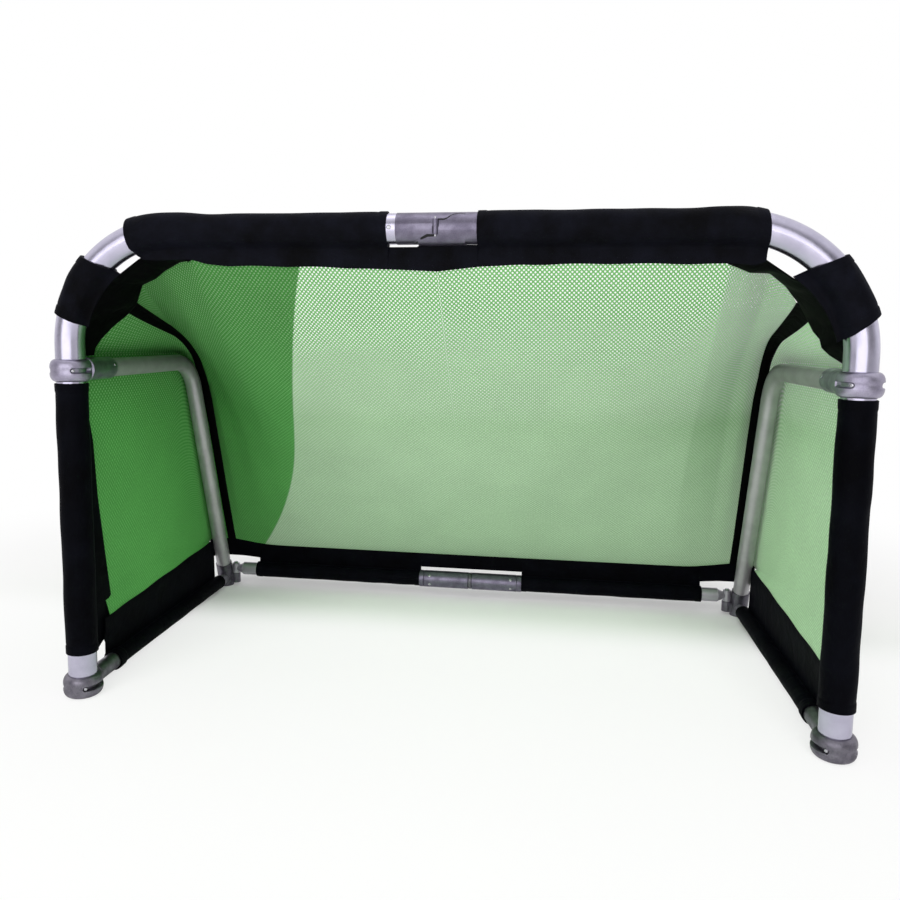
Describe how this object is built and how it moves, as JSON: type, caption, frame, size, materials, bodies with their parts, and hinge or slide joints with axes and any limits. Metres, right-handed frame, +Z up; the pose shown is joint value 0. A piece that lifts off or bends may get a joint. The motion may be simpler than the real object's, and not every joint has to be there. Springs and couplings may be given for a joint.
{
  "type": "folding football goal",
  "caption": "Small free-standing goal of bent aluminium tube with black fabric sleeves and a green mesh net; front bar, sides and rear bar hinge so that the frame folds flat.",
  "frame": {"origin": "on the ground under the middle of the frame's overall box", "axes": "+X along the crossbar to the right as seen from in front of the mouth, +Y from the mouth to the back, +Z up"},
  "size_m": [1.264, 0.6696, 0.7948],
  "materials": {
    "front_tube": "satin polished aluminium tube",
    "side_tube": "satin aluminium tube",
    "joint_casting": "cast aluminium, fine shot-blasted skin",
    "collar_casting": "cast aluminium, satin",
    "corner_casting": "cast aluminium, darker",
    "pin_steel": "zinc plated steel",
    "black_nylon": "black woven nylon, slight sheen",
    "green_net": "green knitted polyester mesh",
    "black_plastic": "black moulded plastic"
  },
  "bodies": {
    "front_left": {"front_tube_left": "front_tube", "foot_plug_left": "black_plastic", "bar_joint_left": "joint_casting", "bar_sleeve_left": "black_nylon", "bend_cuff_left": "black_nylon", "upper_pin_left": "pin_steel", "foot_pin_left": "pin_steel", "back_net_left": "green_net", "bar_rivet_left": "pin_steel", "bar_hinge_pin": "pin_steel"},
    "front_right": {"front_tube_right": "front_tube", "foot_plug_right": "black_plastic", "bar_joint_right": "joint_casting", "bar_sleeve_right": "black_nylon", "bend_cuff_right": "black_nylon", "upper_pin_right": "pin_steel", "foot_pin_right": "pin_steel", "back_net_right": "green_net"},
    "side_left": {"side_tube_left": "side_tube", "ground_tube_left": "side_tube", "upper_collar_left": "collar_casting", "foot_collar_left": "collar_casting", "upper_rivet_left": "pin_steel", "foot_rivet_left": "pin_steel", "rear_corner_left": "corner_casting", "corner_pin_left": "pin_steel", "side_band_left": "black_nylon", "upright_sleeve_left": "black_nylon", "net_seam_left": "black_nylon", "side_net_left": "green_net"},
    "side_right": {"side_tube_right": "side_tube", "ground_tube_right": "side_tube", "upper_collar_right": "collar_casting", "foot_collar_right": "collar_casting", "upper_rivet_right": "pin_steel", "foot_rivet_right": "pin_steel", "rear_corner_right": "corner_casting", "corner_pin_right": "pin_steel", "side_band_right": "black_nylon", "upright_sleeve_right": "black_nylon", "net_seam_right": "black_nylon", "side_net_right": "green_net"},
    "rear_left": {"rear_tube_left": "side_tube", "rear_knuckle_left": "corner_casting", "rear_joint_left": "corner_casting", "rear_rivet_low_left": "pin_steel", "rear_rivet_high_left": "pin_steel", "rear_band_left": "black_nylon", "rear_hinge_pin": "pin_steel"},
    "rear_right": {"rear_tube_right": "side_tube", "rear_knuckle_right": "corner_casting", "rear_joint_right": "corner_casting", "rear_rivet_low_right": "pin_steel", "rear_rivet_high_right": "pin_steel", "rear_band_right": "black_nylon"}
  },
  "joints": [
    {"name": "crossbar_fold", "type": "hinge", "parent": "front_left", "child": "front_right", "pos_m": [0, -0.3263, 0.77], "axis": [0, 0, -1], "range_deg": [0, 173], "deforming": ["back_net_left", "back_net_right"]},
    {"name": "side_left_fold", "type": "hinge", "parent": "front_left", "child": "side_left", "pos_m": [-0.6, -0.3028, 0.55], "axis": [0, 0, -1], "range_deg": [0, 86.5]},
    {"name": "side_right_fold", "type": "hinge", "parent": "front_right", "child": "side_right", "pos_m": [0.6, -0.3028, 0.55], "axis": [0, 0, 1], "range_deg": [0, 86.5]},
    {"name": "rear_left_fold", "type": "hinge", "parent": "side_left", "child": "rear_left", "pos_m": [-0.574, 0.3042, 0.043], "axis": [0, 0, -1], "range_deg": [0, 89.2]},
    {"name": "rear_right_fold", "type": "hinge", "parent": "side_right", "child": "rear_right", "pos_m": [0.574, 0.3042, 0.043], "axis": [0, 0, 1], "range_deg": [0, 89.2]}
  ],
  "couplings": [
    {"joint": "side_left_fold", "follows": "crossbar_fold", "ratio": 0.5},
    {"joint": "side_right_fold", "follows": "crossbar_fold", "ratio": 0.5},
    {"joint": "rear_left_fold", "follows": "crossbar_fold", "ratio": 0.51525},
    {"joint": "rear_right_fold", "follows": "crossbar_fold", "ratio": 0.51525}
  ]
}
